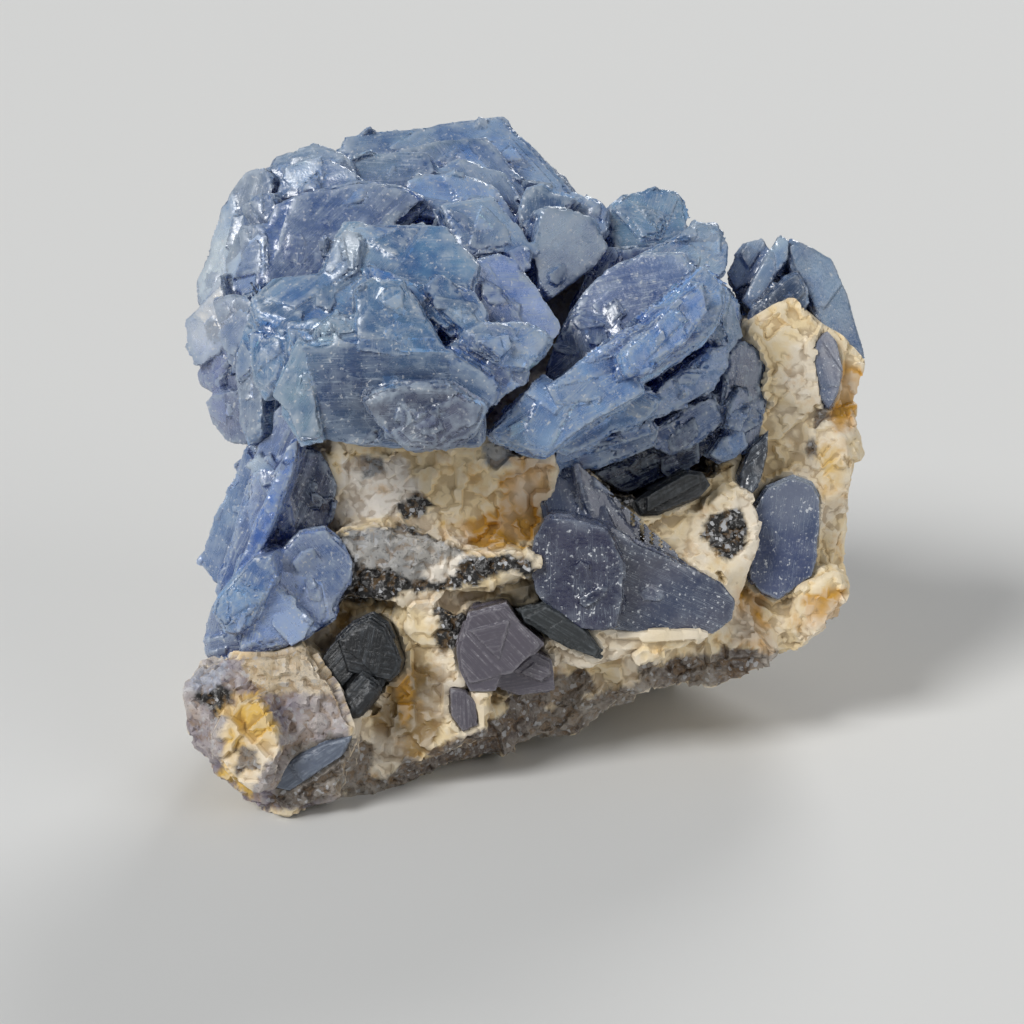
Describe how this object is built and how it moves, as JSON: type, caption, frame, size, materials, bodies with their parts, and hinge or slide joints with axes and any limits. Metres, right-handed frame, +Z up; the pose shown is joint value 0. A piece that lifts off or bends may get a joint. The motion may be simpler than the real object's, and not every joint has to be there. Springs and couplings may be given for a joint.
{
  "type": "sapphire crystal cluster",
  "caption": "Hand specimen of translucent blue tabular sapphire crystals in rosettes and fans on a cream, ochre and black rock matrix, resting on a flat broken base.",
  "frame": {"origin": "centre of the bounding box in plan, on the plane the specimen rests on", "axes": "+Z up from the resting face, +X to the viewer's right and +Y away from the viewer, with the large rosette facing -Y"},
  "size_m": [0.0966, 0.0805, 0.0836],
  "materials": {
    "rose_crystals": "translucent blue, frosted growth steps and pale edges",
    "fan_crystals": "translucent blue, frosted growth steps and pale edges",
    "side_blades": "translucent blue, frosted growth steps and pale edges",
    "corner_blades": "translucent blue, frosted growth steps and pale edges",
    "corner_plate": "translucent blue, frosted growth steps and pale edges",
    "wedge_crystal": "glassy indigo to blue-grey, scattered glitter",
    "slab_crystal": "satin slate blue, growth lines",
    "grey_lath": "satin grey-violet",
    "low_lath": "satin dark grey",
    "quartz_lump": "glassy smoky grey, conchoidal",
    "smoky_slab": "glassy grey",
    "grey_slab": "dull glassy blue-grey",
    "black_prism": "satin black, lengthwise striations",
    "dark_tablet_large": "satin near-black, fine parallel lines",
    "dark_tablet_small": "satin near-black, fine parallel lines",
    "slate_rod": "satin slate grey",
    "matrix_rock": "rough broken stone: cream feldspar with ochre stains, dark mica and grey grains"
  },
  "bodies": {
    "root": {"rose_crystals": "rose_crystals", "fan_crystals": "fan_crystals", "side_blades": "side_blades", "corner_blades": "corner_blades", "corner_plate": "corner_plate", "wedge_crystal": "wedge_crystal", "slab_crystal": "slab_crystal", "grey_lath": "grey_lath", "low_lath": "low_lath", "quartz_lump": "quartz_lump", "smoky_slab": "smoky_slab", "grey_slab": "grey_slab", "black_prism": "black_prism", "dark_tablet_large": "dark_tablet_large", "dark_tablet_small": "dark_tablet_small", "slate_rod": "slate_rod", "matrix_rock": "matrix_rock"}
  },
  "joints": []
}
